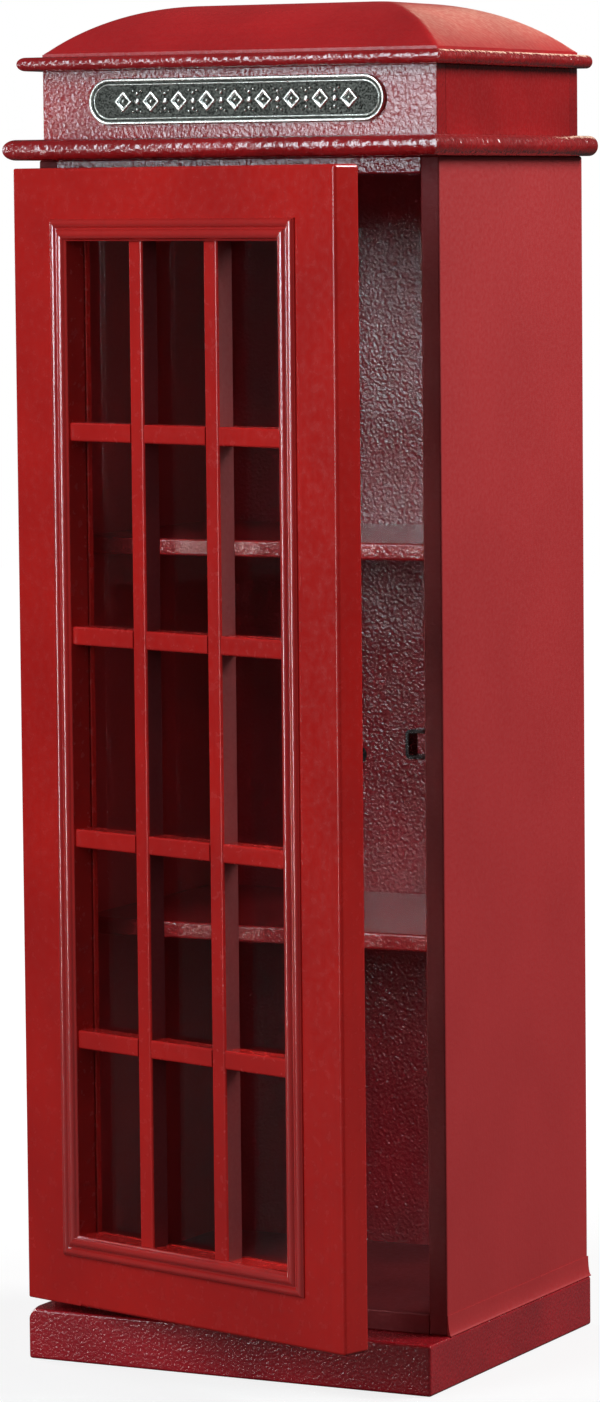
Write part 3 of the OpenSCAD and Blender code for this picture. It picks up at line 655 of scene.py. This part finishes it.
def mitred_strip(bm, section, length):
    """Extrudes a section along X and cuts both ends to 45 degrees. Y runs towards the glass."""
    points = [bm.verts.new((0.0, y * MM, z * MM)) for y, z in section]
    outline = bm.faces.new(points)
    grown = bmesh.ops.extrude_face_region(bm, geom=[outline])
    far = {part for part in grown["geom"] if isinstance(part, bmesh.types.BMVert)}
    bmesh.ops.translate(bm, verts=list(far), vec=(length, 0, 0))
    for vertex in bm.verts:
        vertex.co.x += -vertex.co.y if vertex in far else vertex.co.y


def place_strip(node, turn):
    """A strip for one side of the ring, in the place of its node on the closed door."""
    low, high = shut_box(node)
    upright = turn in (90, 270)
    length = high.z - low.z if upright else high.x - low.x
    bm = bmesh.new()
    mitred_strip(bm, MOULDING_SECTION, length)
    start = {0: (low.x, low.z), 90: (high.x, low.z), 180: (high.x, high.z), 270: (low.x, high.z)}[turn]
    onto_door = (Matrix.Translation((start[0], high.y, start[1]))
                 @ Matrix.Rotation(math.radians(90), 4, "X") @ Matrix.Rotation(math.radians(turn), 4, "Z"))
    bm.transform(onto_door)
    bmesh.ops.recalc_face_normals(bm, faces=bm.faces)
    finish_piece(bm, "painted_" + node, node, [moulding_enamel], crease=50)


for strip, turn in (("bottom", 0), ("free", 90), ("top", 180), ("hinge", 270)):
    place_strip("moulding_" + strip, turn)
print("moulding strips:", sum("moulding" in piece.name for piece in pieces))

# %% [markdown]
# ## Glazing bars and glass
#
# The bars are half-lapped where they cross, so their fronts lie in one plane. The frame already has
# the laps and the rounded front edges, and the copies only need smooth shading over the rounds. The
# sides of the upright bars take the darkest enamel: painted shade, as on the front edges of the side
# panels. The glass stays as it is, with its material.

# %% Bars and glass
for i in (1, 2):
    bar = shut_copy(f"upright_bar_{i}")
    # painted shade: the sides of each upright bar take the darkest red
    for face in bar.faces:
        face.material_index = int(abs(face.normal.x) > 0.9)
    finish_piece(bar, f"painted_upright_bar_{i}", f"upright_bar_{i}", [upright_enamel, painted_shade_enamel])
for i in (1, 2, 3, 4):
    finish_piece(shut_copy(f"level_bar_{i}"), f"painted_level_bar_{i}", f"level_bar_{i}", [level_enamel])
glass = frame["nodes"]["door_glass"]
glass.data.materials.clear()
glass.data.materials.append(pane_glass)
print("bars:", sum("_bar_" in piece.name for piece in pieces))

# %% [markdown]
# ## The plaque
#
# A cast plate with rounded ends, a raised rim, a thin border line and a row of lozenges and beads. Its
# rim and line are made the way a jeweller would turn them: one flat face, inset again and again, with
# each inset rising or falling. The lozenges are insets too, of a four-sided face, and the
# beads are flattened balls. Faces near the ground get the blackened metal.

# %% Plaque
plaque_low, plaque_high = shut_box("name_plaque")
PLATE_MM = 2.0
LOZENGES = 9
plaque_length = plaque_high.x - plaque_low.x
plaque_height = plaque_high.z - plaque_low.z


def inset_steps(bm, face, steps):
    """Insets one face again and again; each step is (width, rise) in millimetres."""
    for width, rise in steps:
        bmesh.ops.inset_individual(bm, faces=[face], thickness=width * MM, depth=0.0,
                                   use_even_offset=True)
        bmesh.ops.translate(bm, verts=face.verts, vec=(0, 0, rise * MM))
    return face


plaque = bmesh.new()
END_SEGMENTS = 64
made = bmesh.ops.create_circle(plaque, cap_ends=True, radius=plaque_height / 2, segments=END_SEGMENTS)
bmesh.ops.rotate(plaque, verts=plaque.verts, matrix=Matrix.Rotation(math.pi / END_SEGMENTS, 3, "Z"))
reach = (plaque_length - plaque_height) / 2
for vertex in plaque.verts:
    vertex.co.x += math.copysign(reach, vertex.co.x)
plate = plaque.faces[:][0]
grown = bmesh.ops.extrude_face_region(plaque, geom=[plate], use_keep_orig=True)
top = next(part for part in grown["geom"] if isinstance(part, bmesh.types.BMFace))
bmesh.ops.translate(plaque, verts=top.verts, vec=(0, 0, (PLATE_MM - 0.4) * MM))
RIM = [(0.25, 0.9), (0.4, 0.3), (0.8, 0.0), (0.4, -0.3), (0.2, -0.8)]
LINE = [(1.1, 0.0), (0.2, 0.5), (0.3, 0.12), (0.3, -0.12), (0.2, -0.5)]
ground = inset_steps(plaque, top, RIM + LINE)
ground_z = ground.verts[0].co.z
pitch = (plaque_length - plaque_height) / LOZENGES
FRAME_STEPS = [(0.45, 0.75), (0.35, 0.2), (0.5, 0.0), (0.35, -0.2), (0.45, -0.7)]


def lozenge(x, width_mm, height_mm, steps):
    made = bmesh.ops.create_circle(plaque, cap_ends=True, radius=1.0, segments=4)
    bmesh.ops.scale(plaque, verts=made["verts"], vec=(width_mm / 2 * MM, height_mm / 2 * MM, 1.0))
    bmesh.ops.translate(plaque, verts=made["verts"], vec=(x, 0, ground_z))
    face = next(f for f in made["verts"][0].link_faces)
    if face.normal.z < 0:
        face.normal_flip()
    inset_steps(plaque, face, steps)


def bead(x, y, radius_mm):
    ball = bmesh.ops.create_icosphere(plaque, subdivisions=3, radius=radius_mm * MM)
    bmesh.ops.scale(plaque, verts=ball["verts"], vec=(1.0, 1.0, 0.9 / radius_mm))
    bmesh.ops.translate(plaque, verts=ball["verts"], vec=(x, y, ground_z))


for i in range(LOZENGES):
    x = (i - (LOZENGES - 1) / 2) * pitch
    lozenge(x, 12.5, 13.0, FRAME_STEPS)
    bead(x, 0.0, 1.1)
    if i:
        between = x - pitch / 2
        bead(between, 0.0, 2.0)
        for level in (-1, 1):
            bead(between, level * 4.6 * MM, 1.2)
            bead(between + 2.6 * MM, level * 6.0 * MM, 0.8)
            bead(between - 2.6 * MM, level * 6.0 * MM, 0.8)
for face in plaque.faces:
    face.material_index = 1 if abs(face.calc_center_median().z - ground_z) < 0.12 * MM else 0
plaque_place = ((plaque_low.x + plaque_high.x) / 2, plaque_high.y, (plaque_low.z + plaque_high.z) / 2)
stood_up = Matrix.Rotation(math.radians(90), 4, "X")
plaque.transform(Matrix.Translation(plaque_place) @ stood_up)
finish_piece(plaque, "cast_plaque", "name_plaque", [pewter_raised, pewter_ground], crease=60)
print("plaque ornament:", LOZENGES, "lozenges, pitch mm", round(pitch / MM, 1))

# %% [markdown]
# ## Hinges and catch
#
# The hinge leaves and pins keep their exact shapes, because the pins run in the knuckles. Their
# copies only get smooth shading, so that the knuckles look round. The keeper is a bent strip, and its
# copy too only gets smooth shading. The screws are slotted: the flat top of each
# head is cut by two parallel lines, and the strip between them is pushed down.

# %% Hinges, catch and screws
for level in ("upper", "lower"):
    for part in ("carcass_leaf", "door_leaf", "pin"):
        node = f"{level}_hinge_{part}"
        finish_piece(shut_copy(node), "brass_" + node, node, [hinge_brass])
for node in ("catch_keeper", "catch_strike"):
    finish_piece(shut_copy(node), "black_" + node, node, [black_lacquer])


def separate_parts(bm):
    """The vertices of each separate solid in a mesh."""
    left = set(bm.verts)
    while left:
        found = set()
        to_visit = [left.pop()]
        while to_visit:
            vertex = to_visit.pop()
            found.add(vertex)
            for edge in vertex.link_edges:
                other = edge.other_vert(vertex)
                if other in left:
                    left.discard(other)
                    to_visit.append(other)
        yield list(found)


def slotted_screw(length, head_r, shank_r):
    """A countersunk screw with a slot. The top of its head is at the origin and it points down."""
    bm = bmesh.new()
    head_h = head_r - shank_r
    shank = bmesh.ops.create_cone(bm, cap_ends=True, segments=20, radius1=0.3 * MM, radius2=shank_r,
                                  depth=length - head_h)
    bmesh.ops.translate(bm, verts=shank["verts"], vec=(0, 0, -(length + head_h) / 2))
    head = bmesh.ops.create_cone(bm, cap_ends=True, segments=28, radius1=shank_r, radius2=head_r,
                                 depth=head_h)
    bmesh.ops.translate(bm, verts=head["verts"], vec=(0, 0, -head_h / 2))

    def on_top(face):
        return face.calc_center_median().z > -0.01 * MM

    slot_half = 0.35 * MM
    for side in (-1, 1):
        top = [face for face in bm.faces if on_top(face)]
        around = list({part for face in top for part in face.edges[:] + face.verts[:]})
        bmesh.ops.bisect_plane(bm, geom=top + around, plane_co=(side * slot_half, 0, 0), plane_no=(1, 0, 0))
    middle = [face for face in bm.faces if on_top(face) and abs(face.calc_center_median().x) < slot_half / 2]
    pushed = bmesh.ops.extrude_face_region(bm, geom=middle)
    sunk = [part for part in pushed["geom"] if isinstance(part, bmesh.types.BMVert)]
    bmesh.ops.translate(bm, verts=sunk, vec=(0, 0, -0.5 * MM))
    return bm


def replace_screws(node, axis, outward, material):
    """New screws where a node has its own; they look along an axis, outward being 1 or -1."""
    source = shut_copy(node)
    together = bmesh.new()
    look = Vector([outward if a == axis else 0 for a in range(3)])
    turn = look.to_track_quat("Z", "Y").to_matrix().to_4x4()
    for solid in separate_parts(source):
        low, high = corners(solid)
        head = (low + high) / 2
        head[axis] = high[axis] if outward > 0 else low[axis]
        across = (axis + 1) % 3
        one = slotted_screw(high[axis] - low[axis], (high[across] - low[across]) / 2, 1.1 * MM)
        one.transform(Matrix.Translation(head) @ turn)
        bmesh.ops.recalc_face_normals(one, faces=one.faces)
        held = bpy.data.meshes.new("screw")
        one.to_mesh(held)
        one.free()
        together.from_mesh(held)
        bpy.data.meshes.remove(held)
    source.free()
    finish_piece(together, "slotted_" + node, node, [material])


replace_screws("hinge_carcass_screws", Y, -1, hinge_brass)
replace_screws("hinge_door_screws", Y, 1, hinge_brass)
replace_screws("catch_keeper_screws", X, -1, black_lacquer)
replace_screws("catch_strike_screws", Y, 1, black_lacquer)
print("pieces made:", len(pieces))

# %% [markdown]
# ## The floor
#
# A wide pale floor that carries the shadow. To the camera it glows, weakly around the cabinet so that
# the shadow stays, and fully white further off, where it meets the background. To everything else it
# is dark grey, so that it doesn't throw light up under the cabinet or show in the glass. A ray that
# goes straight through the pane counts as the camera's own.

# %% Floor
floor_mesh = bmesh.new()
bmesh.ops.create_grid(floor_mesh, x_segments=1, y_segments=1, size=6.0)
floor_data = bpy.data.meshes.new("floor")
floor_mesh.to_mesh(floor_data)
floor_mesh.free()
floor = bpy.data.objects.new("floor", floor_data)
scene.collection.objects.link(floor)
floor_paint, tree, place = new_material("pale_floor")
dust = add_node(tree, "ShaderNodeTexNoise", Vector=place, Scale=repeats(400), Detail=2.0)
tone = mixed(tree, dust.outputs[0], linear("#565656"), linear("#5c5c5c"))
plain = add_node(tree, "ShaderNodeBsdfPrincipled", Base_Color=tone, Roughness=0.9)
distance = add_node(tree, "ShaderNodeVectorMath", {"operation": "LENGTH"}, in0=place)
brighten = add_node(tree, "ShaderNodeMapRange", Value=distance.outputs["Value"], From_Min=0.3, From_Max=0.8,
                    To_Min=0.82, To_Max=1.0)
glow = add_node(tree, "ShaderNodeEmission", Color=linear("#ffffff"), Strength=brighten.outputs[0])
lifted = add_node(tree, "ShaderNodeAddShader", in0=plain.outputs[0], in1=glow.outputs[0])
dark_tone = mixed(tree, dust.outputs[0], linear("#2c2c2c"), linear("#323232"))
dull = add_node(tree, "ShaderNodeBsdfPrincipled", Base_Color=dark_tone, Roughness=0.9)
close_material(tree, add_node(tree, "ShaderNodeMixShader", in0=seen_straight(tree),
                              in1=dull.outputs[0], in2=lifted.outputs[0]))
floor_data.materials.append(floor_paint)

# %% Count of pieces and materials
print("pieces:", len(pieces), "materials:", len(bpy.data.materials))
